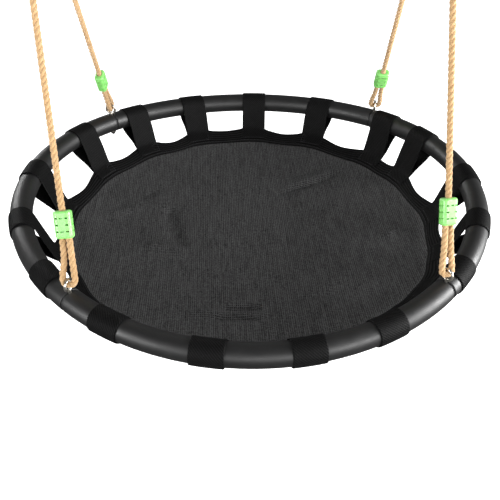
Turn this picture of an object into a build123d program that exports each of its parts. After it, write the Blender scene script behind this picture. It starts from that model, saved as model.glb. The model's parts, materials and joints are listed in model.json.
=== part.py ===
from build123d import *
import os
from math import acos, asin, atan2, cos, degrees, hypot, pi, radians, sin, tan

# A saucer nest swing: a round steel ring in four bent tubes, a woven mat held in it by webbing
# straps, and four ropes that rise in pairs to two hanging rings, each on a carabiner.
# Millimetres. +X is to the right, the front is -Y, +Z is up. The origin is midway between the
# two points where the carabiners bear on what holds them, so the whole swing hangs below it.

# ---- driving dimensions ----
RING_D = 1000.0  # over the ring's tubes
TUBE_D = 45.0
TUBE_WALL = 2.0
SADDLE = 14.0  # how far the ring's two sides rise, and its front and back drop
JOINT_GAP = 5.0  # between two tube ends
SPIGOT_D = 40.0
SPIGOT_WALL = 3.0
SPIGOT_HALF = 45.0  # length in each tube

HANG_SPAN = 702.0  # between the two hanging points
HANG_DROP = 740.0  # from the hanging rings' centres down to the middle of the seat ring
SEAT_SHIFT = 29.0  # the stored pose is swayed this far to the right

BOLT_D = 6.0
BOLT_HOLE_D = 6.4
EYE_R = 10.8  # mean radius of the eye
EYE_ROD = 5.5
EYE_HEIGHT = 36.4  # eye's centre above the tube's axis
WASHER_D = 14.0
WASHER_T = 1.4
WASHER_SEAT = 23.2  # from the tube's axis down to the washer's inner face
NUT_FLATS = 10.0
NUT_H = 4.0

ROPE_D = 12.0
LEG = 6.3  # half the spacing of the two legs of a loop
LOOP_GAP = 1.4  # between a loop's bend and the rod that it goes round
LOOP_SIDE = 7.5  # from the rod out to the rope's middle, beside the bend
LOOP_FLARE = 1.0  # how much further out the legs are at their widest
LOOP_SHOULDER = 6.0  # height of the widest place over the rod
NECK = 38.0  # where a bottom loop's legs become parallel
TOP_NECK = 45.0
JOG_H = 17.0  # height in which the rope's standing part moves from one leg to the middle

ADJUSTER_W = 31.5
ADJUSTER_T = 21.0
ADJUSTER_H = 48.0
CAVITY_D = 12.6  # across the adjuster's cavity, which holds the two legs side by side
TOP_HOLE_D = 13.2
TOP_HOLE_DEEP = 6.0
SLOT_H = 2.6
SLOT_ROWS = (-11.5, 0.0, 11.5)  # of the adjuster's slots, from its middle
SLOT_OUT = 9.2  # of the outer columns of slots from the middle
TAIL_IN = 17.0  # how far the rope's end reaches into the adjuster
FERRULE_H = 28.0
FERRULE_DROP = 24.0  # from the top loop's neck down to the ferrule
FERRULE_WALL = 2.0

HANG_RING_R = 30.0  # mean radius
HANG_ROD = 8.0
CARABINER_L = 80.0  # over all
CARABINER_W = 38.0
CARABINER_ROD = 8.0
LINK_GAP = 0.3  # between the carabiner's bow and the ring on it
GATE_ROD_R = 3.6
GATE_GAP = 0.5  # between the gate's free end and the carabiner's nose
TONGUE_R = 3.4
TONGUE_T = 3.0
FORK_SLOT = 3.4
PIN_R = 1.25
PIN_RISE = 6.0  # of the gate's pin over the start of the lower bow

BORDER_R = 425.0
BORDER_INNER_R = 392.0
BORDER_Z = -64.0  # outer edge below the middle of the ring
MAT_EDGE_Z = -87.0
MAT_CENTRE_Z = -115.0
MAT_T = 2.5
STRAP_W = 60.0
STRAP_T = 2.4
STRAP_R = 25.0  # from the tube's axis to the middle of the webbing
STRAP_ANGLES = (2, 26, 41, 64, 86, 106.5, 126.5, 147, 172, 195, 217, 237, 259, 279, 297, 321, 341)

# ---- worked out ----
RING_R = (RING_D - TUBE_D) / 2
BOW_R = (CARABINER_W - CARABINER_ROD) / 2
BOW_TOP_Z = CARABINER_ROD / 2
BOW_BOTTOM_Z = BOW_TOP_Z - (CARABINER_L - CARABINER_ROD)
HANG_RING_Z = BOW_BOTTOM_Z + (CARABINER_ROD + HANG_ROD) / 2 + LINK_GAP - HANG_RING_R
SEAT = Vector(SEAT_SHIFT, 0, HANG_RING_Z - HANG_DROP)
TOP_END = TOP_NECK + FERRULE_DROP + FERRULE_H - 2  # the rope's end, inside its ferrule
PIN_Z = BOW_BOTTOM_Z + BOW_R + PIN_RISE
GATE_TOP_Z = BOW_TOP_Z - BOW_R - 2.4

# Every tube is a flat arc leaned about the line between its two joints: (start, end, rise).
TUBES = {
    "right": (-45.2, 46.0, SADDLE),
    "back": (46.0, 134.0, -SADDLE),
    "left": (134.0, 226.0, SADDLE),
    "front": (226.0, 314.8, -SADDLE),
}
# Every corner: (side, joint's angle, turn of the eye's plane from X, turn of the bottom loop about
# its rope, how far its adjuster pulls the rope to the right, adjuster's height over the eye's rod).
CORNERS = {
    "front_left": (-1, 226.0, 68, -12, 3.8, 72),
    "front_right": (1, 314.8, 122, 24, 0.0, 79),
    "back_left": (-1, 134.0, 168, 82, -2.0, 68),
    "back_right": (1, 46.0, 80, -4, 0.0, 67),
}

os.makedirs("parts", exist_ok=True)


def save(piece, label):
    piece.part.label = label
    export_step(piece.part, f"parts/{label}.step")


def headed(angle):
    """The level direction at an angle from +X."""
    return Vector(cos(radians(angle)), sin(radians(angle)), 0)


def arc_plane(start, end, rise):
    """The leaned plane of one tube's arc, with its local origin at the arc's centre."""
    heading = headed((start + end) / 2)
    chord = RING_R * cos(radians((end - start) / 2))
    lean = asin(rise / (RING_R - chord))
    out = heading * cos(lean) + Vector(0, 0, sin(lean))
    normal = heading * -sin(lean) + Vector(0, 0, cos(lean))
    return Plane(origin=SEAT + heading * chord - out * chord, x_dir=out, z_dir=normal)


def tube_frame(angle):
    """Where the tube's axis is at an angle round the ring, and which way it runs there."""
    for start, end, rise in TUBES.values():
        turn = (angle - (start + end) / 2 + 180) % 360 - 180
        if abs(turn) <= (end - start) / 2 + 0.01:
            plane = arc_plane(start, end, rise)
            spot = Vector(RING_R * cos(radians(turn)), RING_R * sin(radians(turn)), 0)
            along = plane.x_dir * -sin(radians(turn)) + plane.y_dir * cos(radians(turn))
            return plane.from_local_coords(spot), along


def joint_point(angle):
    return SEAT + headed(angle) * RING_R


def joint_plane(angle):
    """The plane of a short arc that runs on through a joint with the tubes' slope there."""
    radial = headed(angle)
    _, along = tube_frame(angle)
    return Plane(origin=SEAT, x_dir=radial, z_dir=radial.cross(along))


def below(angle, drop):
    """A plane that faces down under a joint."""
    return Plane(origin=joint_point(angle) - Vector(0, 0, drop), z_dir=(0, 0, -1))


# ---- the ring ----
def tube_segment(label, start, end, rise):
    """A bent tube with rounded rims, notched at both ends for the bolts."""
    trim = degrees(JOINT_GAP / 2 / RING_R)
    half = (end - start) / 2
    with BuildPart() as tube:
        with BuildLine(arc_plane(start, end, rise)) as path:
            CenterArc((0, 0), RING_R, trim - half, 2 * (half - trim))
        with BuildSketch(Plane(origin=path.line @ 0, x_dir=(0, 0, 1), z_dir=path.line % 0)):
            Circle(TUBE_D / 2)
            Circle(TUBE_D / 2 - TUBE_WALL, mode=Mode.SUBTRACT)
        sweep()
        circles = tube.edges().filter_by(GeomType.CIRCLE)
        fillet(circles.filter_by(lambda e: abs(e.radius - TUBE_D / 2) < 0.01), TUBE_WALL * 0.8)
        with Locations(joint_point(start), joint_point(end)):
            Cylinder(BOLT_HOLE_D / 2, 2 * TUBE_D, mode=Mode.SUBTRACT)
    save(tube, label)


def spigot(label, angle):
    reach = degrees(SPIGOT_HALF / RING_R)
    with BuildPart() as sleeve:
        with BuildLine(joint_plane(angle)) as path:
            CenterArc((0, 0), RING_R, -reach, 2 * reach)
        with BuildSketch(Plane(origin=path.line @ 0, z_dir=path.line % 0)):
            Circle(SPIGOT_D / 2)
            Circle(SPIGOT_D / 2 - SPIGOT_WALL, mode=Mode.SUBTRACT)
        sweep()
        with Locations(joint_point(angle)):
            Cylinder(BOLT_HOLE_D / 2, 2 * SPIGOT_D, mode=Mode.SUBTRACT)
    save(sleeve, label)


def eye_bolt(label, angle, turn):
    foot = WASHER_SEAT + WASHER_T + NUT_H
    with BuildPart() as bolt:
        with BuildSketch(Plane(below(angle, foot).origin)):
            Circle(BOLT_D / 2)
        extrude(amount=foot + EYE_HEIGHT - EYE_R)
        centre = joint_point(angle) + Vector(0, 0, EYE_HEIGHT)
        eye = Plane(origin=centre, x_dir=headed(turn), z_dir=Vector(0, 0, 1))
        with BuildSketch(eye):
            with Locations((EYE_R, 0)):
                Circle(EYE_ROD / 2)
        revolve(axis=Axis(centre, eye.y_dir))
    save(bolt, label)


def washers():
    """A washer under each joint, resting on both tube ends."""
    with BuildPart() as discs:
        for _, angle, *_ in CORNERS.values():
            with BuildSketch(below(angle, WASHER_SEAT)):
                Circle(WASHER_D / 2)
                Circle(BOLT_HOLE_D / 2, mode=Mode.SUBTRACT)
            extrude(amount=WASHER_T)
    save(discs, "joint_washers")


def cap_nuts():
    """A domed nut on each bolt's end."""
    top = WASHER_SEAT + WASHER_T + 0.1
    with BuildPart() as nuts:
        for _, angle, *_ in CORNERS.values():
            with BuildSketch(below(angle, top)):
                RegularPolygon(NUT_FLATS / 2, 6, major_radius=False)
            extrude(amount=NUT_H)
            with BuildSketch(below(angle, top + NUT_H)):
                Circle(NUT_FLATS / 2 - 0.4)
            extrude(amount=NUT_H * 0.7, taper=30)
            with BuildSketch(below(angle, top)):
                Circle(BOLT_D / 2 + 0.1)
            extrude(amount=NUT_H + 0.5, mode=Mode.SUBTRACT)
    save(nuts, "cap_nuts")


# ---- the mat and its straps ----
def dish(label, points):
    """A thin round shell from its half section, given as points out from the middle."""
    with BuildPart() as shell:
        with BuildSketch(Plane(origin=SEAT, x_dir=(1, 0, 0), z_dir=(0, -1, 0))):
            with BuildLine():
                top = Spline(*points) if len(points) > 2 else Line(*points)
                under = [(x, z - MAT_T) for x, z in points]
                bottom = Spline(*under) if len(under) > 2 else Line(*under)
                Line(top @ 0, bottom @ 0)
                Line(top @ 1, bottom @ 1)
            make_face()
        revolve(axis=Axis(SEAT, (0, 0, 1)))
    save(shell, label)


def strap(label, angle):
    """Webbing that leaves the mat's border, goes over and round the tube, and comes back beneath."""
    centre, along = tube_frame(angle)
    level = Vector(centre.X, centre.Y, 0) - Vector(SEAT.X, SEAT.Y, 0)
    inward = (level * -1).normalized()
    edge_x = level.length - BORDER_R + 5
    edge_y = SEAT.Z + BORDER_Z - centre.Z
    upper = (edge_x, edge_y + STRAP_T)
    lower = (edge_x, edge_y - MAT_T - 4 * STRAP_T)
    with BuildPart() as band:
        across = inward.cross(Vector(0, 0, 1))
        run = along if along.dot(across) > 0 else along * -1
        with BuildSketch(Plane(origin=centre, x_dir=inward - run * inward.dot(run), z_dir=run)) as section:
            with BuildLine() as line:
                spots = []
                for (x, y), hand in ((upper, 1), (lower, -1)):
                    turn = atan2(y, x) + hand * acos(STRAP_R / hypot(x, y))
                    spots.append(turn)
                    Line((x, y), (STRAP_R * cos(turn), STRAP_R * sin(turn)))
                CenterArc((0, 0), STRAP_R, degrees(spots[0]), 360 - degrees(spots[0] - spots[1]))
            trace(line_width=STRAP_T)
        extrude(amount=STRAP_W / 2, both=True)
    save(band, label)


# ---- the hanging gear ----
def hang_point(side_x):
    return Vector(side_x * HANG_SPAN / 2, 0, HANG_RING_Z)


class RopeFrame:
    """The line of one rope, from the rod of its eye up to the rod of its hanging ring."""

    def __init__(self, name):
        side_x, angle, turn, loop_turn, nudge, self.adjuster = CORNERS[name]
        eye = joint_point(angle) + Vector(0, 0, EYE_HEIGHT)
        ring = hang_point(side_x)
        flat = headed(turn + 90)  # square to the eye's plane
        pull = ring - eye
        self.eye = eye + (pull - flat * pull.dot(flat)).normalized() * EYE_R
        fall = Vector(0, self.eye.Y - ring.Y, self.eye.Z - ring.Z).normalized()
        self.rod = ring + fall * HANG_RING_R
        self.up = (self.rod - self.eye).normalized()
        self.length = (self.rod - self.eye).length
        self.side = (Vector(1, 0, 0) - self.up * self.up.X).normalized()
        across = self.up.cross(self.side)
        self.loop_side = self.side * cos(radians(loop_turn)) + across * sin(radians(loop_turn))
        self.nudge = self.side * nudge

    def top(self, out, drop):
        """A place on the top loop, down from the hanging ring's rod."""
        return self.rod + self.side * out - self.up * drop

    def low(self, out, height):
        """A place on the bottom loop or in the adjuster, up from the eye's rod."""
        place = self.eye + self.loop_side * out + self.up * height
        return place + self.nudge if height >= NECK else place


def loop_points(rod, neck, end):
    """A loop's own points, (half width, height), from one parallel leg round its rod to the other's end."""
    bend = rod / 2 + ROPE_D / 2 + LOOP_GAP
    half = rod / 2 + LOOP_SIDE
    wide = half + LOOP_FLARE
    return [
        (-LEG, neck),
        (-wide, LOOP_SHOULDER),
        (-half, -bend),
        (half, -bend),
        (wide, LOOP_SHOULDER),
        (LEG, neck),
        (LEG, end),
    ]


def rope_route(name):
    """The route's points: round the hanging ring, down, and round the eye into the adjuster."""
    line = RopeFrame(name)
    top = [line.top(out, drop) for out, drop in reversed(loop_points(HANG_ROD, TOP_NECK, TOP_END))]
    jog = TOP_END + 14
    standing = [line.top(-LEG, jog), line.top(0, jog + JOG_H)]
    entry = line.adjuster + ADJUSTER_H - 10
    standing += [line.low(0, entry), line.low(-LEG, entry - JOG_H)]
    low = loop_points(EYE_ROD, NECK, line.adjuster + TAIL_IN)
    return top + standing + [line.low(out, height) for out, height in low]


def corner_radii(points):
    """0.45 of the shorter run, over the tangent of half the turn."""
    radii = []
    for before, here, after in zip(points, points[1:], points[2:]):
        run_in, run_out = here - before, after - here
        turn = radians(run_in.get_angle(run_out))
        radii.append(0.45 * min(run_in.length, run_out.length) / tan(turn / 2))
    return radii


def rope(name):
    points = rope_route(name)
    radii = corner_radii(points)
    with BuildPart() as cord:
        with BuildLine() as path:
            FilletPolyline(*points, radius=radii)
        with BuildSketch(Plane(origin=path.line @ 0, z_dir=path.line % 0)):
            Circle(ROPE_D / 2)
        sweep()
    length = path.wires()[0].length
    share = cord.part.volume / (length * pi * ROPE_D**2 / 4)
    print(f"rope {name}: {length:.0f} mm, volume share {share:.4f}, tightest bend {min(radii):.1f} mm")
    save(cord, f"rope_{name}")


def ferrule(name):
    """A pressed sleeve over the two legs of the top loop."""
    line = RopeFrame(name)
    hole = ROPE_D / 2 + 0.2
    with BuildPart() as sleeve:
        foot = line.top(0, TOP_NECK + FERRULE_DROP + FERRULE_H)
        with BuildSketch(Plane(origin=foot, x_dir=line.side, z_dir=line.up)):
            SlotOverall(2 * (LEG + hole + FERRULE_WALL), 2 * (hole + FERRULE_WALL))
            SlotOverall(2 * (LEG + hole), 2 * hole, mode=Mode.SUBTRACT)
        extrude(amount=FERRULE_H)
    save(sleeve, f"ferrule_{name}")


def adjuster(name):
    """A moulded block with one hole in its top, a cavity for both legs of its loop, and slots."""
    line = RopeFrame(name)
    base = Plane(origin=line.low(0, line.adjuster), x_dir=line.loop_side, z_dir=line.up)
    with BuildPart() as block:
        with BuildSketch(base):
            RectangleRounded(ADJUSTER_W, ADJUSTER_T, 8.0)
        extrude(amount=ADJUSTER_H)
        flat = block.faces().filter_by(GeomType.PLANE)
        fillet(flat.filter_by(lambda f: abs(f.normal_at().dot(line.up)) > 0.99).edges(), 4.5)
        with BuildSketch(base):
            SlotOverall(2 * LEG + CAVITY_D, CAVITY_D)
        extrude(amount=ADJUSTER_H - TOP_HOLE_DEEP, mode=Mode.SUBTRACT)
        with BuildSketch(base.offset(ADJUSTER_H)):
            Circle(TOP_HOLE_D / 2)
        extrude(amount=-2 * TOP_HOLE_DEEP, mode=Mode.SUBTRACT)
        for row in SLOT_ROWS:
            level = base.offset(ADJUSTER_H / 2 + row)
            for hand in (-1, 1):
                face = hand * ADJUSTER_T / 2
                cuts = [((hand * ADJUSTER_W / 2, 0), (4.0, ADJUSTER_T * 0.5))]
                cuts += [((column * SLOT_OUT, face), (5.0, 12.0)) for column in (-1, 1)]
                if row:
                    cuts.append(((0, face), (7.0, 6.0)))
                for (out, front), (wide, deep) in cuts:
                    spot = level.from_local_coords(Vector(out, front, 0))
                    with Locations(Plane(origin=spot, x_dir=line.loop_side, z_dir=line.up)):
                        Box(wide, deep, SLOT_H, mode=Mode.SUBTRACT)
    save(block, f"adjuster_{name}")


def hanging_ring(label, side_x):
    centre = hang_point(side_x)
    with BuildPart() as ring:
        with BuildSketch(Plane(origin=centre, x_dir=(0, 0, 1), z_dir=(0, -1, 0))):
            with Locations((HANG_RING_R, 0)):
                Circle(HANG_ROD / 2)
        revolve(axis=Axis(centre, (1, 0, 0)))
    save(ring, label)


# ---- the carabiners ----
def carabiner(label, side_x):
    """The bent rod, open where its gate closes it, with a fork for the gate at its lower end."""
    middle = Vector(side_x * HANG_SPAN / 2, 0, 0)
    reach = side_x * BOW_R
    upper, lower = BOW_TOP_Z - BOW_R, BOW_BOTTOM_Z + BOW_R
    with BuildPart() as hook:
        with BuildLine(Plane(origin=middle, x_dir=(1, 0, 0), z_dir=(0, -1, 0))) as path:
            Line((reach, PIN_Z), (reach, lower))
            ThreePointArc((reach, lower), (0, BOW_BOTTOM_Z), (-reach, lower))
            Line((-reach, lower), (-reach, upper))
            ThreePointArc((-reach, upper), (0, BOW_TOP_Z), (reach, upper))
            Line((reach, upper), (reach, GATE_TOP_Z + GATE_GAP))
        with BuildSketch(Plane(origin=path.line @ 0, z_dir=path.line % 0)):
            Circle(CARABINER_ROD / 2)
        sweep()
        pivot = middle + Vector(reach, 0, PIN_Z)
        with Locations(Location(pivot, (90, 0, 0))):
            Cylinder(CARABINER_ROD / 2, CARABINER_ROD - 1)
        with Locations(pivot):
            Box(2 * CARABINER_ROD, FORK_SLOT, 2 * (TONGUE_R + 1), mode=Mode.SUBTRACT)
        with Locations(Location(pivot, (90, 0, 0))):
            Cylinder(PIN_R + 0.02, 2 * CARABINER_ROD, mode=Mode.SUBTRACT)
    save(hook, label)


def gate(label, side_x):
    """The sprung bar that closes a carabiner, with a tongue that the pin goes through."""
    pivot = Vector(side_x * (HANG_SPAN / 2 + BOW_R), 0, PIN_Z)
    start = CARABINER_ROD / 2 + 0.5
    with BuildPart() as bar:
        with BuildSketch(Plane.XY.move(Location(pivot + Vector(0, 0, start)))):
            Circle(GATE_ROD_R)
        extrude(amount=GATE_TOP_Z - PIN_Z - start)
        with Locations(Location(pivot, (90, 0, 0))):
            Cylinder(TONGUE_R, TONGUE_T)
        with Locations(pivot + Vector(0, 0, (start + 1) / 2)):
            Box(2 * TONGUE_R, TONGUE_T, start + 1)
        with Locations(Location(pivot, (90, 0, 0))):
            Cylinder(PIN_R + 0.05, 2 * TONGUE_T, mode=Mode.SUBTRACT)
    save(bar, label)


def gate_pins():
    with BuildPart() as pins:
        for side_x in (-1, 1):
            with Locations(Location((side_x * (HANG_SPAN / 2 + BOW_R), 0, PIN_Z), (90, 0, 0))):
                Cylinder(PIN_R, CARABINER_ROD - 1)
    save(pins, "gate_pins")


for where, (start, end, rise) in TUBES.items():
    tube_segment(f"tube_{where}", start, end, rise)
for where, (_, angle, turn, *_) in CORNERS.items():
    spigot(f"spigot_{where}", angle)
    eye_bolt(f"eye_bolt_{where}", angle, turn)
    rope(where)
    ferrule(where)
    adjuster(where)
washers()
cap_nuts()
mat_spots = ((0, MAT_CENTRE_Z), (200, MAT_CENTRE_Z + 5), (320, MAT_CENTRE_Z + 14))
dish("mat", [*mat_spots, (BORDER_INNER_R, MAT_EDGE_Z)])
dish("mat_border", [(BORDER_INNER_R + 0.5, MAT_EDGE_Z), (BORDER_R, BORDER_Z)])
for count, angle in enumerate(STRAP_ANGLES, 1):
    strap(f"strap_{count:02d}", angle)
for where, side_x in (("left", -1), ("right", 1)):
    hanging_ring(f"hanging_ring_{where}", side_x)
    carabiner(f"carabiner_{where}", side_x)
    gate(f"gate_{where}", side_x)
gate_pins()
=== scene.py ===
import json
from math import acos, asin, atan2, cos, degrees, exp, hypot, pi, radians, sin

import bpy
from mathutils import Matrix, Vector


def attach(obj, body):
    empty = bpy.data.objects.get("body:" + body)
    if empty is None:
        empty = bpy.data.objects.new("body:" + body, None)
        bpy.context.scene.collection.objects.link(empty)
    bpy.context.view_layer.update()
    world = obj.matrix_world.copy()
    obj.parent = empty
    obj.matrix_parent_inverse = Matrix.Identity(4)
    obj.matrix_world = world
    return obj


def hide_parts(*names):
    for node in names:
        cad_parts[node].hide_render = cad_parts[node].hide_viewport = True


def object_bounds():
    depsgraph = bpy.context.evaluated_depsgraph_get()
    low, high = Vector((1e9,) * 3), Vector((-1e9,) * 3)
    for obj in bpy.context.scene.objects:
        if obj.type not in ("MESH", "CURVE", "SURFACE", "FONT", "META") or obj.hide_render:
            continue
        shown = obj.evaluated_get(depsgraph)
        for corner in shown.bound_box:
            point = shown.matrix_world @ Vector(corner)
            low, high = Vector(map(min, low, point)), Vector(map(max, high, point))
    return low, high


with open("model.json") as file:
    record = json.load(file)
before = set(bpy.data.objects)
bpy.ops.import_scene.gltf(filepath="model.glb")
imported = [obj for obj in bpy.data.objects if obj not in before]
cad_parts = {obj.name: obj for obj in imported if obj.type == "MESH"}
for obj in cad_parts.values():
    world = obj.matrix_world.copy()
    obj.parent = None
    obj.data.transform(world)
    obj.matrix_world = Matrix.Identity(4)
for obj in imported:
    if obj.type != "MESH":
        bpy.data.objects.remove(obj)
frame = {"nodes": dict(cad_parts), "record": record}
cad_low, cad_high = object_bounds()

# The looks of a saucer nest swing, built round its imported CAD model. Metres, in the CAD's frame:
# +X is to the right, the front is -Y, +Z is up, and the hanging points are on the X axis.
MM = 0.001

# ---- the camera ----
CAMERA_PLACE = (-0.0391, -1.3274, 0.0136)
CAMERA_YAW = 3.0  # degrees to the right of +Y
CAMERA_PITCH = 36.893  # degrees below the horizon
CAMERA_ROLL = 0.566
CAMERA_LENS = 52.2

scene = bpy.context.scene
camera = bpy.data.objects.new("camera", bpy.data.cameras.new("camera"))
scene.collection.objects.link(camera)
scene.camera = camera
camera.data.lens = CAMERA_LENS
camera.data.sensor_width = 36.0
turn = Matrix.Rotation(radians(-CAMERA_YAW), 4, "Z") @ Matrix.Rotation(radians(90 - CAMERA_PITCH), 4, "X")
camera.matrix_world = Matrix.Translation(CAMERA_PLACE) @ turn @ Matrix.Rotation(radians(CAMERA_ROLL), 4, "Z")
scene.view_settings.view_transform = "Standard"

# ---- the CAD's dimensions that the ropes and the webbing follow ----
RING_R = 477.5 * MM
TUBE_R = 22.5 * MM
SADDLE = 14 * MM  # how far the ring's two sides rise, and its front and back drop
HANG_SPAN = 702 * MM
HANG_RING_Z = -89.7 * MM
HANG_RING_R = 30 * MM
HANG_ROD = 8 * MM
EYE_HEIGHT = 36.4 * MM
EYE_R = 10.8 * MM
EYE_ROD = 5.5 * MM
ROPE_D = 12 * MM
LEG = 6.3 * MM
LOOP_GAP = 1.4 * MM
LOOP_SIDE = 7.5 * MM
LOOP_FLARE = 1 * MM
LOOP_SHOULDER = 6 * MM
NECK = 38 * MM
TOP_NECK = 45 * MM
TOP_END = 95 * MM
JOG_START = 14 * MM  # from the top loop's short end down to where the standing part starts its move
JOG_H = 17 * MM  # height in which the standing part moves from one leg to the middle
ADJUSTER_H = 48 * MM
ENTRY_DEPTH = 10 * MM  # from an adjuster's top down to where the rope starts its move there
TAIL_IN = 17 * MM  # of the bottom loop's short end, inside its adjuster
SEAT = Vector((29 * MM, 0, -829.7 * MM))
# Every tube: (start, end, rise).
TUBES = ((-45.2, 46.0, SADDLE), (46.0, 134.0, -SADDLE), (134.0, 226.0, SADDLE), (226.0, 314.8, -SADDLE))
# Every corner: (side, joint's angle, turn of the eye's plane from X, turn of the bottom loop about
# its rope, how far its adjuster pulls the rope to the right, adjuster's height over the eye's rod).
CORNERS = {
    "front_left": (-1, 226.0, 68, -12, 3.8 * MM, 72 * MM),
    "front_right": (1, 314.8, 122, 24, 0, 79 * MM),
    "back_left": (-1, 134.0, 168, 82, -2 * MM, 68 * MM),
    "back_right": (1, 46.0, 80, -4, 0, 67 * MM),
}
# The straps' places round the seat, in degrees from +X.
STRAP_ANGLES = (2, 26, 41, 64, 86, 106.5, 126.5, 147, 172, 195, 217, 237, 259, 279, 297, 321, 341)


def headed(angle):
    """The level direction at an angle from +X."""
    return Vector((cos(radians(angle)), sin(radians(angle)), 0))


def tube_frame(angle):
    """Where the ring tube's axis is at an angle round the seat, and which way it runs there."""
    for start, end, rise in TUBES:
        half, heading = (end - start) / 2, (start + end) / 2
        part = (angle - heading + 180) % 360 - 180
        if abs(part) <= half + 0.01:
            chord = RING_R * cos(radians(half))
            lean = asin(rise / (RING_R - chord))
            out = headed(heading) * cos(lean) + Vector((0, 0, sin(lean)))
            beside = headed(heading + 90)
            origin = SEAT + headed(heading) * chord - out * chord
            point = origin + (out * cos(radians(part)) + beside * sin(radians(part))) * RING_R
            return point, beside * cos(radians(part)) - out * sin(radians(part))


def link(name, mesh, body, material):
    """A new piece from a mesh, riding on a CAD body."""
    piece = bpy.data.objects.new(name, mesh)
    scene.collection.objects.link(piece)
    mesh.materials.append(material)
    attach(piece, body)
    return piece


def smooth_step(t):
    t = max(0.0, min(1.0, t))
    return t * t * (3 - 2 * t)


# ---- materials ----
class Finish:
    """A procedural material, with its nodes made by name."""

    def __init__(self, name, roughness=0.5, metallic=0.0, sheen=0.0, coat=0.0, specular=0.5):
        self.material = bpy.data.materials.new(name)
        self.material.use_nodes = True
        self.tree = self.material.node_tree
        self.shader = self.tree.nodes["Principled BSDF"]
        self.shader.inputs["Roughness"].default_value = roughness
        self.shader.inputs["Metallic"].default_value = metallic
        self.shader.inputs["Sheen Weight"].default_value = sheen
        self.shader.inputs["Sheen Roughness"].default_value = 0.5
        self.shader.inputs["Coat Weight"].default_value = coat
        self.shader.inputs["Coat Roughness"].default_value = 0.2
        self.shader.inputs["Specular IOR Level"].default_value = specular

    def node(self, kind, sockets, **values):
        made = self.tree.nodes.new(kind)
        for name, value in values.items():
            setattr(made, name, value)
        for socket, value in sockets.items():
            if isinstance(value, bpy.types.NodeSocket):
                self.tree.links.new(value, made.inputs[socket])
            else:
                made.inputs[socket].default_value = value
        return made

    def place(self, scale=(1, 1, 1), turn=(0, 0, 0), uv=False):
        """Coordinates in metres, or in a piece's own UVs, scaled and turned."""
        source = self.node("ShaderNodeTexCoord", {}).outputs["UV" if uv else "Object"]
        mapping = self.node("ShaderNodeMapping", {"Vector": source, "Scale": scale, "Rotation": turn})
        return mapping.outputs["Vector"]

    def noise(self, scale, detail, roughness=0.5, place=None):
        sockets = {"Scale": scale, "Detail": detail, "Roughness": roughness, "Vector": place or self.place()}
        return self.node("ShaderNodeTexNoise", sockets).outputs["Fac"]

    def wave(self, scale, place, distortion=0.0):
        sockets = {"Scale": scale, "Distortion": distortion, "Detail": 1.0, "Vector": place}
        kinds = {"wave_type": "BANDS", "bands_direction": "X", "wave_profile": "SIN"}
        return self.node("ShaderNodeTexWave", sockets, **kinds).outputs["Fac"]

    def math(self, operation, a, b):
        return self.node("ShaderNodeMath", {0: a, 1: b}, operation=operation).outputs[0]

    def spread(self, value, low, high, to_low, to_high):
        sockets = {"Value": value, "From Min": low, "From Max": high, "To Min": to_low, "To Max": to_high}
        return self.node("ShaderNodeMapRange", sockets).outputs["Result"]

    def colour(self, factor, *stops):
        """Colours at places along a factor: both ends first, then any between them."""
        ramp = self.node("ShaderNodeValToRGB", {"Fac": factor})
        for count, (place, colour) in enumerate(stops):
            element = ramp.color_ramp.elements[count] if count < 2 else ramp.color_ramp.elements.new(place)
            element.position = place
            element.color = (*colour, 1.0)
        return ramp.outputs["Color"]

    def set(self, socket, source):
        self.tree.links.new(source, self.shader.inputs[socket])

    def bump(self, height, distance, strength):
        sockets = {"Height": height, "Distance": distance, "Strength": strength}
        self.set("Normal", self.node("ShaderNodeBump", sockets).outputs["Normal"])


def powder_coat():
    """Satin black coating with a fine orange peel and a few paler patches."""
    made = Finish("powder_coat", roughness=0.5, specular=0.66)
    dark, light = (0.0022, 0.0022, 0.0023), (0.0042, 0.0042, 0.0043)
    made.set("Base Color", made.colour(made.noise(9, 3), (0.35, dark), (0.7, light)))
    made.set("Roughness", made.spread(made.noise(60, 4), 0.3, 0.7, 0.46, 0.54))
    made.bump(made.noise(1400, 2), 0.05 * MM, 0.5)
    return made.material


def black_metal(name, roughness):
    made = Finish(name, specular=0.45)
    dark, light = (0.008, 0.008, 0.009), (0.017, 0.017, 0.018)
    made.set("Base Color", made.colour(made.noise(300, 3), (0.3, dark), (0.7, light)))
    made.set("Roughness", made.spread(made.noise(500, 4), 0.3, 0.7, roughness - 0.08, roughness + 0.08))
    made.bump(made.noise(2200, 2), 0.04 * MM, 0.5)
    return made.material


def bright_metal(name, tint, roughness, grain):
    """Plated or pressed metal with a fine drawn grain and cloudy patches."""
    made = Finish(name, metallic=1.0)
    clouds = made.noise(90, 4)
    dull = tuple(c * 0.78 for c in tint)
    made.set("Base Color", made.colour(clouds, (0.3, dull), (0.65, tint)))
    drawn = made.noise(1.0, 3, 0.6, made.place((2600, 2600, 260)))
    wear = made.math("ADD", clouds, drawn)
    made.set("Roughness", made.spread(wear, 0.7, 1.3, roughness - 0.08, roughness + 0.1))
    made.bump(drawn, grain, 0.5)
    return made.material


def mesh_fabric():
    """Dark grey plastic mesh: two crossed sets of fine yarns, a little uneven in tone."""
    made = Finish("mesh_fabric", roughness=0.75, specular=0.1)
    warp = made.wave(76, made.place(), distortion=0.4)
    weft = made.wave(76, made.place(turn=(0, 0, pi / 2)), distortion=0.4)
    yarns = made.math("MAXIMUM", warp, weft)
    streaks = made.noise(1.0, 3, 0.6, made.place((300, 22, 22)))
    grain = made.noise(290, 3, 0.7)
    tone = made.math("ADD", made.math("MULTIPLY", streaks, 0.35), made.math("MULTIPLY", grain, 0.65))
    tone = made.math("MULTIPLY", tone, made.spread(yarns, 0.4, 1.0, 0.7, 1.15))
    dark, light = (0.003, 0.003, 0.003), (0.07, 0.07, 0.0705)
    made.set("Base Color", made.colour(tone, (0.3, dark), (0.64, light)))
    made.bump(yarns, 0.5 * MM, 0.7)
    return made.material


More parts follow.
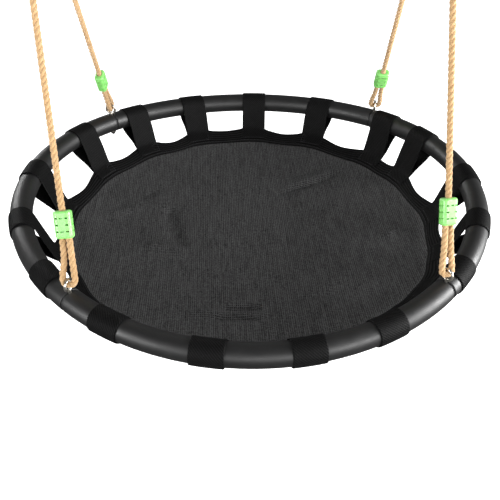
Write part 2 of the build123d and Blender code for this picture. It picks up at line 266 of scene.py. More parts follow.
def webbing(name, stripe_scale, stripe_share):
    """Black polypropylene webbing with a slanting twill and ribbing along it. Its UVs are in metres. On the
    border the lighter stripes fall on its rib crests and are a painted highlight.
    """
    made = Finish(name, roughness=0.6, specular=0.08)
    # On the border these lighter stripes lie on its rib crests, so they are a painted highlight; on the
    # straps they are the webbing's own fine ribbing.
    ribs_and_crest_highlight = made.math("MULTIPLY", made.wave(stripe_scale, made.place(uv=True)), stripe_share)
    twill = made.wave(82, made.place(turn=(0, 0, pi / 4), uv=True), distortion=0.6)
    weave_and_crest_highlight = made.math("ADD", ribs_and_crest_highlight, made.math("MULTIPLY", twill, 1 - stripe_share))
    fuzz = made.noise(330, 3)
    tone = made.math("ADD", made.math("MULTIPLY", weave_and_crest_highlight, 0.65), made.math("MULTIPLY", fuzz, 0.35))
    dark, light = (0.0003, 0.0003, 0.0003), (0.009, 0.009, 0.0092)
    made.set("Base Color", made.colour(tone, (0.42, dark), (0.75, light)))
    made.bump(weave_and_crest_highlight, 0.5 * MM, 0.9)
    return made.material


def thread():
    made = Finish("thread", roughness=0.55, sheen=0.05, specular=0.2)
    lay = made.wave(900, made.place(turn=(0.6, 0.3, 0.8)))
    dark, light = (0.01, 0.01, 0.011), (0.026, 0.026, 0.028)
    made.set("Base Color", made.colour(lay, (0.2, dark), (0.8, light)))
    made.bump(lay, 0.1 * MM, 0.6)
    return made.material


def rope_fibre():
    """Tan twisted fibre: fine yarns that slant round every strand. Its UVs are in metres."""
    made = Finish("rope_fibre", roughness=0.75, sheen=0.25, specular=0.25)
    yarns = made.wave(230, made.place(turn=(0, 0, 0.55), uv=True), distortion=1.2)
    fuzz = made.noise(1100, 3, 0.65)
    age = made.noise(45, 3)
    tone = made.math("ADD", made.math("MULTIPLY", yarns, 0.45), made.math("MULTIPLY", fuzz, 0.55))
    tone = made.math("ADD", made.math("MULTIPLY", tone, 0.7), made.math("MULTIPLY", age, 0.3))
    deep, middle, pale = (0.3, 0.165, 0.068), (0.45, 0.28, 0.13), (0.58, 0.4, 0.22)
    made.set("Base Color", made.colour(tone, (0.22, deep), (0.8, pale), (0.5, middle)))
    made.bump(yarns, 0.3 * MM, 0.7)
    return made.material


def lime_plastic():
    """Pale green moulded plastic: soft gloss, a slightly milky body and a faint sparked texture."""
    made = Finish("lime_plastic", roughness=0.34, coat=0.25)
    dark, light = (0.185, 0.52, 0.125), (0.225, 0.575, 0.155)
    made.set("Base Color", made.colour(made.noise(60, 2), (0.3, dark), (0.7, light)))
    made.shader.inputs["Subsurface Weight"].default_value = 0.25
    made.shader.inputs["Subsurface Radius"].default_value = (0.4, 1.0, 0.3)
    made.shader.inputs["Subsurface Scale"].default_value = 3 * MM
    made.set("Roughness", made.spread(made.noise(900, 3), 0.3, 0.7, 0.28, 0.4))
    made.bump(made.noise(1800, 2), 0.03 * MM, 0.4)
    return made.material


FINISHES = {
    "powder_coat": powder_coat(),
    "spigot_steel": black_metal("spigot_black", 0.6),
    "zinc": bright_metal("zinc_plate", (0.76, 0.72, 0.64), 0.28, 0.02 * MM),
    "black_nut": black_metal("nut_black", 0.35),
    "aluminium": bright_metal("pressed_aluminium", (0.72, 0.72, 0.74), 0.42, 0.04 * MM),
    "mesh_fabric": mesh_fabric(),
    "webbing": webbing("webbing", 157, 0.35),
    "rope": rope_fibre(),
    "adjuster_plastic": lime_plastic(),
}
# The border's stripes match BORDER_RIB, so its rib crests come out lighter: a painted highlight.
BORDER_WEBBING = webbing("border_webbing", 47, 0.8)
THREAD = thread()

# ---- the ropes ----
STRAND_R = 3.4 * MM
STRAND_OFFSET = 2.7 * MM  # from the rope's middle to a strand's middle
LAY_LENGTH = 32 * MM  # of rope in which a strand goes once round
ROPE_STEP = 1.6 * MM
STRAND_SIDES = 10
STRAIGHT_END = 3 * ROPE_D  # in from the ends of the long stretch to the points that keep it straight


class RopeLine:
    """The line of one rope, from the rod of its eye up to the rod of its hanging ring."""

    def __init__(self, name):
        side_x, angle, turn, loop_turn, nudge, self.adjuster = CORNERS[name]
        eye = SEAT + headed(angle) * RING_R + Vector((0, 0, EYE_HEIGHT))
        ring = Vector((side_x * HANG_SPAN / 2, 0, HANG_RING_Z))
        flat = headed(turn + 90)
        pull = ring - eye
        self.eye = eye + (pull - flat * pull.dot(flat)).normalized() * EYE_R
        fall = Vector((0, self.eye.y - ring.y, self.eye.z - ring.z)).normalized()
        self.rod = ring + fall * HANG_RING_R
        self.up = (self.rod - self.eye).normalized()
        self.side = (Vector((1, 0, 0)) - self.up * self.up.x).normalized()
        across = self.up.cross(self.side)
        self.loop_side = self.side * cos(radians(loop_turn)) + across * sin(radians(loop_turn))
        self.nudge = self.side * nudge

    def top(self, out, drop):
        return self.rod + self.side * out - self.up * drop

    def low(self, out, height):
        place = self.eye + self.loop_side * out + self.up * height
        return place + self.nudge if height >= NECK else place


def loop_points(rod, neck, end):
    """A loop round a rod, as (aside, away from the rod): from its neck, round, and on to its end."""
    bend = rod / 2 + ROPE_D / 2 + LOOP_GAP
    half = rod / 2 + LOOP_SIDE
    wide = half + LOOP_FLARE
    return [
        (-LEG, neck),
        (-wide, LOOP_SHOULDER),
        (-half, -bend),
        (half, -bend),
        (wide, LOOP_SHOULDER),
        (LEG, neck),
        (LEG, end),
    ]


def rope_route(name):
    """The CAD rope's points, with one more near each end of its long straight stretch."""
    line = RopeLine(name)
    top = [line.top(out, drop) for out, drop in reversed(loop_points(HANG_ROD, TOP_NECK, TOP_END))]
    jog = TOP_END + JOG_START
    standing = [line.top(-LEG, jog), line.top(0, jog + JOG_H)]
    entry = line.adjuster + ADJUSTER_H - ENTRY_DEPTH
    bottom = [line.low(0, entry), line.low(-LEG, entry - JOG_H)]
    upper_end, lower_end = standing[-1], bottom[0]
    run = (lower_end - upper_end).normalized() * STRAIGHT_END
    standing += [upper_end + run, lower_end - run]
    low = loop_points(EYE_ROD, NECK, line.adjuster + TAIL_IN)
    return top + standing + bottom + [line.low(out, height) for out, height in low]


def nurbs_line(points, step):
    """Evenly spaced points along the NURBS spline that has these control points."""
    data = bpy.data.curves.new("route", "CURVE")
    data.dimensions = "3D"
    data.resolution_u = 32
    spline = data.splines.new("NURBS")
    spline.points.add(len(points) - 1)
    for spot, point in zip(spline.points, points):
        spot.co = (*point, 1)
    spline.order_u = 3
    spline.use_endpoint_u = True
    carrier = bpy.data.objects.new("route", data)
    drawn = bpy.data.meshes.new_from_object(carrier)
    raw = [v.co.copy() for v in drawn.vertices]
    bpy.data.meshes.remove(drawn)
    bpy.data.objects.remove(carrier)
    bpy.data.curves.remove(data)
    spaced, left = [raw[0]], step
    for here, there in zip(raw, raw[1:]):
        run, gone = (there - here).length, 0.0
        while run - gone >= left:
            gone += left
            spaced.append(here.lerp(there, gone / run))
            left = step
        left -= run - gone
    spaced.append(raw[-1])
    return spaced


def tangents(line):
    last = len(line) - 1
    return [(line[min(i + 1, last)] - line[max(i - 1, 0)]).normalized() for i in range(len(line))]


def add_tube_faces(faces, first, rings, sides):
    """The faces of a tube whose rings' corners are numbered from first, closed at both ends."""
    for i in range(rings - 1):
        for k in range(sides):
            a, b = first + i * sides + k, first + i * sides + (k + 1) % sides
            faces.append((a, b, b + sides, a + sides))
    faces.append(tuple(first + k for k in range(sides))[::-1])
    faces.append(tuple(first + (rings - 1) * sides + k for k in range(sides)))


def sweep_rings(verts, faces, uvs, centres, radials, radius, sides):
    """A tube round a line of centres, closed at both ends, with UVs in metres."""
    first, runs = len(verts), tangents(centres)
    travelled = 0.0
    for i, (centre, radial, run) in enumerate(zip(centres, radials, runs)):
        if i:
            travelled += (centre - centres[i - 1]).length
        u = (radial - run * radial.dot(run)).normalized()
        v = run.cross(u)
        for k in range(sides):
            angle = 2 * pi * k / sides
            verts.append(centre + (u * cos(angle) + v * sin(angle)) * radius)
            uvs.append((k / sides * 2 * pi * radius, travelled))
    add_tube_faces(faces, first, len(centres), sides)


def mesh_from(name, verts, faces, uvs):
    mesh = bpy.data.meshes.new(name)
    mesh.from_pydata([tuple(v) for v in verts], [], faces)
    layer = mesh.uv_layers.new(name="UVMap")
    for loop in mesh.loops:
        layer.data[loop.index].uv = uvs[loop.vertex_index]
    mesh.polygons.foreach_set("use_smooth", [True] * len(mesh.polygons))
    mesh.update()
    return mesh


def twisted_rope(name, body):
    """Three strands laid round the rope's line, in place of its CAD solid."""
    line = nurbs_line(rope_route(name), ROPE_STEP)
    runs = tangents(line)
    level = runs[0].orthogonal().normalized()
    levels = []
    for run in runs:  # carried along the line without twisting
        level = (level - run * level.dot(run)).normalized()
        levels.append(level)
    verts, faces, uvs = [], [], []
    for strand in range(3):
        radials = []
        for i, (run, level) in enumerate(zip(runs, levels)):
            angle = 2 * pi * (i * ROPE_STEP / LAY_LENGTH + strand / 3)
            radials.append(level * cos(angle) + run.cross(level) * sin(angle))
        centres = [point + radial * STRAND_OFFSET for point, radial in zip(line, radials)]
        sweep_rings(verts, faces, uvs, centres, radials, STRAND_R, STRAND_SIDES)
    node = f"rope_{name}"
    piece = link(f"twisted_{node}", mesh_from(node, verts, faces, uvs), body, FINISHES["rope"])
    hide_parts(node)


for where in CORNERS:
    twisted_rope(where, "left_ropes" if "left" in where else "right_ropes")

# ---- the webbing ----
BORDER_R = 425 * MM
BORDER_Z = -64 * MM
STRAP_W = 60 * MM
STRAP_T = 2.2 * MM
STRAP_R = 24.2 * MM  # from the tube's axis to the middle of the webbing
STRAP_LAP = 27 * MM  # sewn inside the border
LAP_ROOM = 0.05 * MM  # half the room between a strap's two sewn layers
STRAP_STEP = 3 * MM
STRAP_ARC_STEPS = 44  # round the tube
STRAP_EASINGS = 6  # webbing doesn't turn sharply, so its corners are eased this many times
STRAP_BOW = 0.9 * MM  # of the free webbing between the tube and the border
BOW_RUN = 0.5 * TUBE_R  # inward from the tube's inner side, over which the webbing bows
SKEW_START = 0.2 * TUBE_R  # inward from the tube's axis, where a skewed strap starts to turn aside
SKEW_RUN = 1.6 * TUBE_R  # in which it turns
RIB = 4.0 * MM  # between the ribs of the webbing
RIB_HEIGHT = 0.16 * MM
RIB_POINTS = 3  # across one rib
SELVEDGE = 2.4 * MM
SELVEDGE_SHARE = 0.35  # of the webbing's thickness, left at its very edge
HALF_STRAP = degrees(STRAP_W / 2 / BORDER_R)
BORDER_INNER_R = 392 * MM
BORDER_T = 2.4 * MM
BORDER_SKIN = 0.9 * MM  # of the border over a strap's end
BULGE_SIDE = 1.1  # degrees in which the border comes down beside a strap's end
MAT_EDGE_Z = -86.8 * MM
DIP = 14 * MM  # how far the border's edge draws in where two straps leave twice DIP_GAP of it free
DIP_GAP = 62 * MM
DIP_POWER = 1.2  # with which a dip grows with its gap
DIP_LIMIT = 1.2  # times DIP_GAP: a wider gap makes no deeper dip
DIP_UNDER = 0.6  # of half a strap's width, over which a dip runs on under the strap
DIP_ROUNDNESS = 1.6  # a greater power makes a dip's middle narrower
DIP_FALL = 0.55  # share of a dip by which the edge also hangs lower
DIP_INNER = 0.4  # share of a dip by which the inner edge follows
DIP_INNER_FALL = 0.05  # share of a dip by which the inner edge hangs lower
# The uneven dips' shares of that depth, by the strap before each. Under zero, the edge stands out.
DIP_SHARES = {86: 0.6, 106.5: 1.5, 321: -1.3}
# How far each strap's sewn end lies along the border from square, in millimetres.
SKEWS = (0, 3, -4, 4, 0, -3, -5, -6, -2, 2, 3, -3, 2, -2, 3, 12, 2)


def border_dip(angle):
    """How far the border's outer edge is drawn in at an angle: none at a strap's middle."""
    for here, there in zip(STRAP_ANGLES, STRAP_ANGLES[1:] + (STRAP_ANGLES[0] + 360,)):
        turned = angle if angle >= STRAP_ANGLES[0] else angle + 360
        if here <= turned < there:
            half = (there - here) / 2 - HALF_STRAP
            across = min(1.0, abs(turned - (here + there) / 2) / (half + DIP_UNDER * HALF_STRAP))
            reach = min(DIP_LIMIT, radians(half) * BORDER_R / DIP_GAP)
            return DIP * DIP_SHARES.get(here, 1) * reach**DIP_POWER * cos(across * pi / 2) ** DIP_ROUNDNESS
    return 0.0  # just under the first strap's angle, where adding 360 rounds up to the last end


def border_edges(angle):
    """The border's outer and inner edges, as (radius, height from the ring's middle)."""
    dip = border_dip(angle)
    outer = (BORDER_R - dip, BORDER_Z - DIP_FALL * dip)
    return outer, (BORDER_INNER_R - DIP_INNER * dip, MAT_EDGE_Z - DIP_INNER_FALL * dip)


def border_bulge(angle):
    """How much half the border's thickness grows at an angle to hold a strap's two layers."""
    nearest = 180
    for here, skew in zip(STRAP_ANGLES, SKEWS):
        across = (angle - here - degrees(skew * MM / BORDER_R) + 180) % 360 - 180
        nearest = min(nearest, abs(across))
    full = STRAP_T + BORDER_SKIN - BORDER_T / 2
    return full * smooth_step((HALF_STRAP + BULGE_SIDE - nearest) / BULGE_SIDE)


def seat_point(angle, radius, height):
    return SEAT + headed(angle) * radius + Vector((0, 0, height))


def strap_path(angle):
    """The strap's middle line in its own plane: x is inward and y is up from the tube's axis."""
    centre, _ = tube_frame(angle)
    level = hypot(centre.x - SEAT.x, centre.y - SEAT.y)
    (outer_r, outer_z), (inner_r, inner_z) = border_edges(angle)
    edge = Vector((level - outer_r, SEAT.z + outer_z - centre.z))
    slope = (Vector((level - inner_r, SEAT.z + inner_z - centre.z)) - edge).normalized()
    lift = Vector((-slope.y, slope.x)) * (STRAP_T / 2 + LAP_ROOM)
    lift = lift if lift.y > 0 else -lift
    ends, spots = [], []
    for hand in (1, -1):
        join = edge + lift * hand
        spots.append(atan2(join.y, join.x) + hand * acos(STRAP_R / join.length))
        ends.append((join, join + slope * STRAP_LAP))
    round_it = 2 * pi - (spots[0] - spots[1])
    arc = []
    for i in range(STRAP_ARC_STEPS + 1):
        spot = spots[0] + round_it * i / STRAP_ARC_STEPS
        arc.append(Vector((cos(spot), sin(spot))) * STRAP_R)
    corners = [ends[0][1], ends[0][0], *arc, ends[1][0], ends[1][1]]
    points = [corners[0]]
    for here, there in zip(corners, corners[1:]):
        count = max(1, round((there - here).length / STRAP_STEP))
        points += [here.lerp(there, (i + 1) / count) for i in range(count)]
    for _ in range(STRAP_EASINGS):
        inner = [(a + b * 2 + c) / 4 for a, b, c in zip(points, points[1:], points[2:])]
        inner = [p if p.length > STRAP_R else p.normalized() * STRAP_R for p in inner]
        points = [points[0], *inner, points[-1]]
    return points


def section(width):
    """The webbing's outline across it: (place across, height over its middle), once round."""
    count = round(width / RIB) * RIB_POINTS
    top = []
    for i in range(count + 1):
        u = width * (i / count - 0.5)
        high = STRAP_T / 2 + RIB_HEIGHT * cos(2 * pi * u / RIB)
        to_edge = width / 2 - abs(u)
        if to_edge < SELVEDGE:
            high *= SELVEDGE_SHARE + (1 - SELVEDGE_SHARE) * (to_edge / SELVEDGE) ** 0.5
        top.append((u, high))
    return top + [(u, -h) for u, h in reversed(top)]


def unevenness(angle):
    """A fixed number between -1 and 1, different for every strap."""
    return sin(angle * 0.83 + 6.3) * 0.6 + sin(angle * 2.17 + 3.9) * 0.4


class Strap:
    """One strap's shape: where a place across it, along it and above it is."""

    def __init__(self, number, angle):
        self.centre, along = tube_frame(angle)
        self.angle = angle
        level = self.centre - SEAT
        inward = -Vector((level.x, level.y, 0)).normalized()
        across = inward.cross(Vector((0, 0, 1)))
        self.run = along if along.dot(across) > 0 else -along
        self.x = (inward - self.run * inward.dot(self.run)).normalized()
        self.y = self.run.cross(self.x)
        self.points = strap_path(angle)
        self.skew = SKEWS[number] * MM
        self.travelled = [0.0]
        for a, b in zip(self.points, self.points[1:]):
            self.travelled.append(self.travelled[-1] + (b - a).length)
        self.normals = [Vector((run.y, -run.x)) for run in tangents(self.points)]

    def shift(self, i):
        """How far aside a place along the strap lies, all of it near the border."""
        return self.skew * smooth_step((self.points[i].x - SKEW_START) / SKEW_RUN)

    def at(self, i, u, high):
        """A place on the strap: at its point i, u across it and high over its middle."""
        point = self.points[i] + self.normals[i] * high
        hollow = u * u / (2 * RING_R)  # the strap follows the tube's bend round the seat
        free = smooth_step((self.points[i].x - TUBE_R) / BOW_RUN)
        bow = free * (1 - free) * 4 * STRAP_BOW * unevenness(self.angle) * (2 * u / STRAP_W)
        place = self.centre + self.x * (point.x + hollow) + self.y * (point.y + bow)
        return place + self.run * (u + self.shift(i))


def strap_mesh(strap, name):
    outline = section(STRAP_W)
    verts, faces, uvs = [], [], []
    rows, around = len(strap.points), len(outline)
    for i in range(rows):
        for u, high in outline:
            verts.append(strap.at(i, u, high))
            uvs.append((u, strap.travelled[i]))
    for i in range(rows - 1):
        for k in range(around):
            a, b = i * around + k, i * around + (k + 1) % around
            faces.append((a, b, b + around, a + around))
    half = around // 2
    for k in range(half - 1):  # the cut ends
        a, b = k, around - 1 - k
        faces.append((a, b, b - 1, a + 1))
        end = (rows - 1) * around
        faces.append((end + a, end + a + 1, end + b - 1, end + b))
    return mesh_from(name, verts, faces, uvs)


STITCH_L = 3.0 * MM
STITCH_GAP = 0.9 * MM
STITCH_R = 0.42 * MM
STITCH_SIDES = 6
# Every ring of a stitch: its share of the way along, then its radius and its lift in STITCH_R.
STITCH_RINGS = ((0.0, 0.35, -0.5), (0.25, 1.0, 0.5), (0.75, 1.0, 0.5), (1.0, 0.35, -0.5))


def add_stitch(verts, faces, uvs, start, end, normal):
    """One short thread, pressed in at its ends."""
    run = (end - start).normalized()
    side = run.cross(normal).normalized()
    first = len(verts)
    for share, thick, lift in STITCH_RINGS:
        middle = start.lerp(end, share) + normal * lift * STITCH_R
        for k in range(STITCH_SIDES):
            angle = 2 * pi * k / STITCH_SIDES
            verts.append(middle + (side * cos(angle) + normal * sin(angle)) * STITCH_R * thick)
            uvs.append((k * STITCH_R, share * STITCH_L))
    add_tube_faces(faces, first, len(STITCH_RINGS), STITCH_SIDES)


def stitch_row(verts, faces, uvs, points, normals):
    """Stitches along a line of points, each with the surface's normal there."""
    travelled, wanted = 0.0, 0.0
    start = start_normal = None
    for here, there, normal in zip(points, points[1:], normals):
        run = (there - here).length
        while run > 0 and travelled + run >= wanted:
            spot = here.lerp(there, max(0.0, min(1.0, (wanted - travelled) / run)))
            if start is None:
                start, start_normal = spot, normal
                wanted += STITCH_L
            else:
                add_stitch(verts, faces, uvs, start, spot, start_normal)
                start = None
                wanted += STITCH_GAP
        travelled += run


for number, angle in enumerate(STRAP_ANGLES):
    strap = Strap(number, angle)
    node = f"strap_{number + 1:02d}"
    piece = link(f"webbing_{node}", strap_mesh(strap, node), "seat", FINISHES["webbing"])
    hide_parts(node)

# ---- the mat's border ----
BORDER_STEPS = 1200
BORDER_RIB = 6.68 * MM
BORDER_RIB_HEIGHT = 0.42 * MM
BORDER_POINTS = 48  # across it
BORDER_W = 40 * MM
BORDER_CROWN = 1.6 * MM  # by which it arches up across its width where it draws in by DIP
BORDER_EDGE_SHARE = 0.5  # of its thickness, left at its outer edge
INNER_TAPER = 6 * MM  # the border thins toward its inner edge over this width
INNER_EDGE_SHARE = 0.3  # of its thickness, left there
BULGE_END = 0.8  # share of the way in at which the straps' ends stop
# The two running seams, and the crossed boxes that hold the straps' ends, as shares of the way in.
RUNNING_SEAMS = (0.08, 0.9)
BOX_SHARES = (0.16, 0.76)
BOX_HALF = 23  # millimetres to each side of a strap's middle
BOX_STEPS = 16  # along each side of a box
SEAM_LIFT = 0.3 * MM


def border_point(angle, share, high):
    """A place on the border: its share of the way in from the outer edge, and above its middle."""
    (outer_r, outer_z), (inner_r, inner_z) = border_edges(angle)
    radius = outer_r + (inner_r - outer_r) * share
    crown = BORDER_CROWN * sin(pi * share) * (border_dip(angle) / DIP)
    height = outer_z + (inner_z - outer_z) * share + crown
    slope = Vector((inner_r - outer_r, inner_z - outer_z)).normalized()
    return seat_point(angle, radius + slope.y * -high, height - slope.x * high)


def half_thickness(share, bulge):
    """Half of the border's thickness, without its ribs, at a share of the way in."""
    return BORDER_T / 2 + bulge * (1 - smooth_step((share - BULGE_END) / (1 - BULGE_END)))


def border_high(share, bulge):
    """The height of the border's ribbed surface over its middle."""
    high = half_thickness(share, bulge) - BORDER_RIB_HEIGHT * cos(2 * pi * share * BORDER_W / BORDER_RIB)
    outer, inner = share * BORDER_W, (1 - share) * BORDER_W
    if outer < SELVEDGE:
        high *= BORDER_EDGE_SHARE + (1 - BORDER_EDGE_SHARE) * (outer / SELVEDGE) ** 0.5
    if inner < INNER_TAPER:
        high *= INNER_EDGE_SHARE + (1 - INNER_EDGE_SHARE) * inner / INNER_TAPER
    return high


def border_mesh():
    verts, faces, uvs = [], [], []
    shares = [k / BORDER_POINTS for k in range(BORDER_POINTS + 1)]
    outline = [(share, 1) for share in shares] + [(share, -1) for share in reversed(shares)]
    around = len(outline)
    for i in range(BORDER_STEPS):
        angle = 360 * i / BORDER_STEPS
        bulge = border_bulge(angle)
        for share, hand in outline:
            verts.append(border_point(angle, share, hand * border_high(share, bulge)))
            uvs.append((share * BORDER_W, radians(angle) * BORDER_R))
    for i in range(BORDER_STEPS):
        here, there = i * around, (i + 1) % BORDER_STEPS * around
        for k in range(around):
            faces.append((here + k, there + k, there + (k + 1) % around, here + (k + 1) % around))
    return mesh_from("mat_border", verts, faces, uvs)


border = link("webbing_border", border_mesh(), "seat", BORDER_WEBBING)
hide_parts("mat_border")


def sewn_line(rows, spots, hand):
    """A row of stitches on the border's upper or lower face, through places given as (angle, share)."""
    points, normals = [], []
    for angle, share in spots:
        high = half_thickness(share, border_bulge(angle)) + SEAM_LIFT
        points.append(border_point(angle, share, hand * high))
        normals.append((border_point(angle, share, hand * (high + MM)) - points[-1]).normalized())
    stitch_row(*rows, points, normals)


def between(start, end, count):
    """Evenly spaced places from one (angle, share) to another."""
    (a0, s0), (a1, s1) = start, end
    return [(a0 + (a1 - a0) * k / count, s0 + (s1 - s0) * k / count) for k in range(count + 1)]


rows = ([], [], [])
for share in RUNNING_SEAMS:
    sewn_line(rows, between((0, share), (360, share), BORDER_STEPS), 1)
for here, skew in zip(STRAP_ANGLES, SKEWS):
    low, high = (here + degrees((skew + hand * BOX_HALF) * MM / BORDER_R) for hand in (-1, 1))
    outer, inner = BOX_SHARES
    corners = ((low, outer), (high, outer), (high, inner), (low, inner))
    crossed = [(corners[0], corners[2]), (corners[1], corners[3])]
    for start, end in [*zip(corners, corners[1:] + corners[:1]), *crossed]:
        for hand in (1, -1):
            sewn_line(rows, between(start, end, BOX_STEPS), hand)
link("border_stitching", mesh_from("border_stitching", *rows), "seat", THREAD)

# ---- the mat ----
MAT_R = 398 * MM
MAT_T = 1.2 * MM
MAT_RINGS = 110
MAT_STEPS = 400
# The mat's height from the ring's middle at four radii, both in millimetres.
MAT_PROFILE = ((0, -114.5), (200, -109.5), (320, -101), (398, -87.6))
PROFILE_REACH = 40 * MM  # to each side, over which the profile's corners are eased
PULL_SHARE = 0.16  # of the border's dip, by which the mat's edge hangs lower there
RIPPLE = 0.5  # millimetres, of the mat's broad unevenness
FOLD_DEPTH = 2.5  # times the creases' heights
CREASE_WANDER = 5  # millimetres that a crease strays from straight
CREASE_WAVE = 34  # millimetres along it per radian of that
CREASE_FADE = 0.3  # of a crease's length, over which it fades in or out
# Creases: both ends as (x, y) from the mat's middle, then width and height, all in millimetres.
CREASES = (
    ((56, 146), (318, 292), 8, -3.4),
    ((80, 178), (262, 280), 15, 2.6),
    ((306, -34), (337, -13), 5, 3.4),
    ((-236, 168), (-176, 98), 20, 2.8),
    ((-208, 150), (-140, -62), 18, -3.2),
    ((-240, -36), (-140, -66), 16, 2.8),
    ((-80, -258), (26, -258), 7, -3.4),
    ((-104, -287), (34, -287), 8, -3.8),
    ((-150, -273), (-60, -273), 12, 2.4),
    ((60, -250), (200, -200), 18, -2.0),
    ((-330, 60), (-250, 110), 14, 2.2),
)


def mat_profile(radius):
    """The height at a radius, on straight lines between the profile's places."""
    radius /= MM
    for (r0, z0), (r1, z1) in zip(MAT_PROFILE, MAT_PROFILE[1:]):
        if radius <= r1 + 1e-6:
            return (z0 + (z1 - z0) * ((radius - r0) / (r1 - r0))) * MM


def soft_profile(radius):
    """The profile with its corners eased, but as it is near the mat's edge."""
    if radius > MAT_R - PROFILE_REACH:
        return mat_profile(radius)
    samples = [mat_profile(abs(radius + PROFILE_REACH * k / 3)) for k in range(-3, 4)]
    return sum(samples) / len(samples)


def crease(x, y, start, end, width, height):
    """The height of one crease at a place: a soft ridge or fold that fades at its ends."""
    (ax, ay), (bx, by) = start, end
    long = hypot(bx - ax, by - ay)
    along = ((x - ax) * (bx - ax) + (y - ay) * (by - ay)) / long
    aside = ((x - ax) * (by - ay) - (y - ay) * (bx - ax)) / long
    aside += CREASE_WANDER * sin(along / CREASE_WAVE)
    faded = CREASE_FADE * long
    fade = smooth_step(along / faded) * smooth_step((long - along) / faded)
    return height * fade * exp(-((aside / width) ** 2))


def mat_height(angle, radius):
    """The height of the mat's upper face. Its folds and ripples fade out toward its edge."""
    x, y = radius * cos(radians(angle)) / MM, radius * sin(radians(angle)) / MM
    share = radius / MAT_R
    folds = FOLD_DEPTH * sum(crease(x, y, *row) for row in CREASES)
    pulled = border_dip(angle) * -PULL_SHARE * share**5
    ripple = RIPPLE * sin(x / 61 + 1.2 * sin(y / 83)) * sin(y / 57 + 0.8) * (1 - share**4)
    return soft_profile(radius) + pulled + (folds * (1 - share**8) + ripple) * MM


def mat_mesh():
    verts, faces, uvs = [], [], []
    for hand in (0, 1):
        drop = -hand * MAT_T
        verts.append(seat_point(0, 0, mat_height(0, 0) + drop))
        for i in range(1, MAT_RINGS + 1):
            radius = MAT_R * i / MAT_RINGS
            for k in range(MAT_STEPS):
                angle = 360 * k / MAT_STEPS
                trim = DIP_INNER * border_dip(angle) * (i / MAT_RINGS) ** 6
                verts.append(seat_point(angle, radius - trim, mat_height(angle, radius) + drop))
    uvs = [(v.x, v.y) for v in verts]
    layer = 1 + MAT_RINGS * MAT_STEPS
    for hand in (0, 1):
        base = hand * layer
        for k in range(MAT_STEPS):
            nxt = (k + 1) % MAT_STEPS
            cap = (base, base + 1 + k, base + 1 + nxt)
            faces.append(cap if hand == 0 else cap[::-1])
            for i in range(MAT_RINGS - 1):
                here, there = base + 1 + i * MAT_STEPS, base + 1 + (i + 1) * MAT_STEPS
                quad = (here + k, there + k, there + nxt, here + nxt)
                faces.append(quad if hand == 0 else quad[::-1])
    rim = 1 + (MAT_RINGS - 1) * MAT_STEPS
    for k in range(MAT_STEPS):
        nxt = (k + 1) % MAT_STEPS
        faces.append((rim + nxt, rim + k, layer + rim + k, layer + rim + nxt))
    return mesh_from("mat", verts, faces, uvs)


mat = link("woven_mat", mat_mesh(), "seat", FINISHES["mesh_fabric"])
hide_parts("mat")

# ---- the CAD parts that stay ----
for row in frame["record"]["subparts"]:
    node = frame["nodes"][row["node"]]
    if not node.hide_render:
        node.data.materials.clear()
        node.data.materials.append(FINISHES[row["material_slot"]])

# ---- floor, backdrop and light ----
FLOOR_Z = cad_low.z - 0.4
FLOOR_HALF = 12.0
BACKDROP_R = 11.0
BACKDROP_STEPS = 48  # round it
BACKDROP_ROWS = 12  # up it


def staged(name, verts, faces, tone, glow):
    """A piece of the studio in a grey tone. Nothing glossy mirrors it."""
    mesh = bpy.data.meshes.new(name)
    mesh.from_pydata(verts, [], faces)
    piece = bpy.data.objects.new(name, mesh)
    scene.collection.objects.link(piece)
    made = Finish(f"{name}_paint", roughness=0.9, specular=0.1)
    dark, light = (tone,) * 3, (tone + 0.03,) * 3
    made.set("Base Color", made.colour(made.noise(3, 3), (0.3, dark), (0.7, light)))
    made.shader.inputs["Emission Color"].default_value = (1, 1, 1, 1)
    made.shader.inputs["Emission Strength"].default_value = glow
    mesh.materials.append(made.material)
    piece.visible_glossy = False
    return piece


def floor():
    corners = ((-1, -1), (1, -1), (1, 1), (-1, 1))
    verts = [(x * FLOOR_HALF, y * FLOOR_HALF, FLOOR_Z) for x, y in corners]
    staged("floor", verts, [(0, 1, 2, 3)], tone=0.93, glow=0.75)


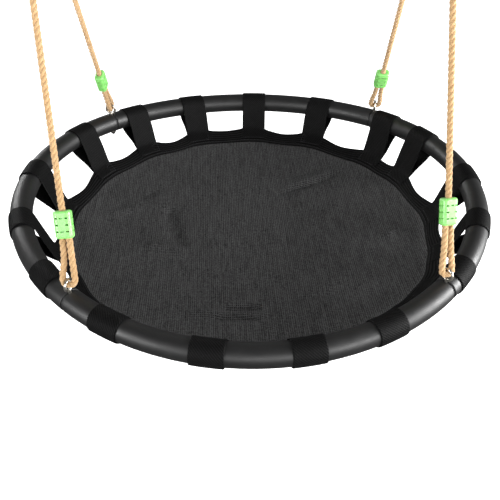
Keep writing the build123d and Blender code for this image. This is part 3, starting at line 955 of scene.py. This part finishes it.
def backdrop():
    """A dome round the floor that is seen but sheds no light and casts no shadow."""
    verts, faces = [], []
    for row in range(BACKDROP_ROWS):
        lift = radians(90 * row / BACKDROP_ROWS)
        for k in range(BACKDROP_STEPS):
            spot = headed(360 * k / BACKDROP_STEPS) * cos(lift) + Vector((0, 0, sin(lift)))
            verts.append(tuple(spot * BACKDROP_R + Vector((0, 0, FLOOR_Z))))
    verts.append((0, 0, FLOOR_Z + BACKDROP_R))
    for row in range(BACKDROP_ROWS):
        for k in range(BACKDROP_STEPS):
            a, b = row * BACKDROP_STEPS + k, row * BACKDROP_STEPS + (k + 1) % BACKDROP_STEPS
            if row < BACKDROP_ROWS - 1:
                faces.append((a, b, b + BACKDROP_STEPS, a + BACKDROP_STEPS))
            else:
                faces.append((a, b, len(verts) - 1))
    dome = staged("backdrop", verts, faces, tone=0.25, glow=0.5)
    dome.visible_diffuse = False
    dome.visible_shadow = False


def area_light(name, place, target, width, height, power):
    data = bpy.data.lights.new(name, "AREA")
    data.shape = "RECTANGLE"
    data.size = width
    data.size_y = height
    data.energy = power
    lamp = bpy.data.objects.new(name, data)
    lamp.location = place
    lamp.rotation_euler = (Vector(target) - Vector(place)).to_track_quat("-Z", "Y").to_euler()
    scene.collection.objects.link(lamp)
    return lamp


floor()
backdrop()
MIDDLE = tuple(SEAT)
area_light("right", (2.75, -0.25, -0.4), MIDDLE, 1.3, 1.2, 160)
area_light("front_right", (2.0, -2.55, -0.2), MIDDLE, 1.4, 0.9, 63)
area_light("front", (0.1, -3.2, -0.3), MIDDLE, 1.4, 0.9, 28)
area_light("front_left", (-2.6, -1.9, -0.1), MIDDLE, 1.4, 0.9, 76)
area_light("back_left", (-2.3, 2.4, 0.2), MIDDLE, 1.4, 0.9, 42)
overhead = area_light("overhead", (0.0, -0.2, 2.6), MIDDLE, 2.2, 1.6, 60)
overhead.visible_glossy = False  # so that the tubes show only the side lights
world = bpy.data.worlds.new("studio")
scene.world = world
world.use_nodes = True
world.node_tree.nodes["Background"].inputs["Color"].default_value = (1, 1, 1, 1)
world.node_tree.nodes["Background"].inputs["Strength"].default_value = 0.15
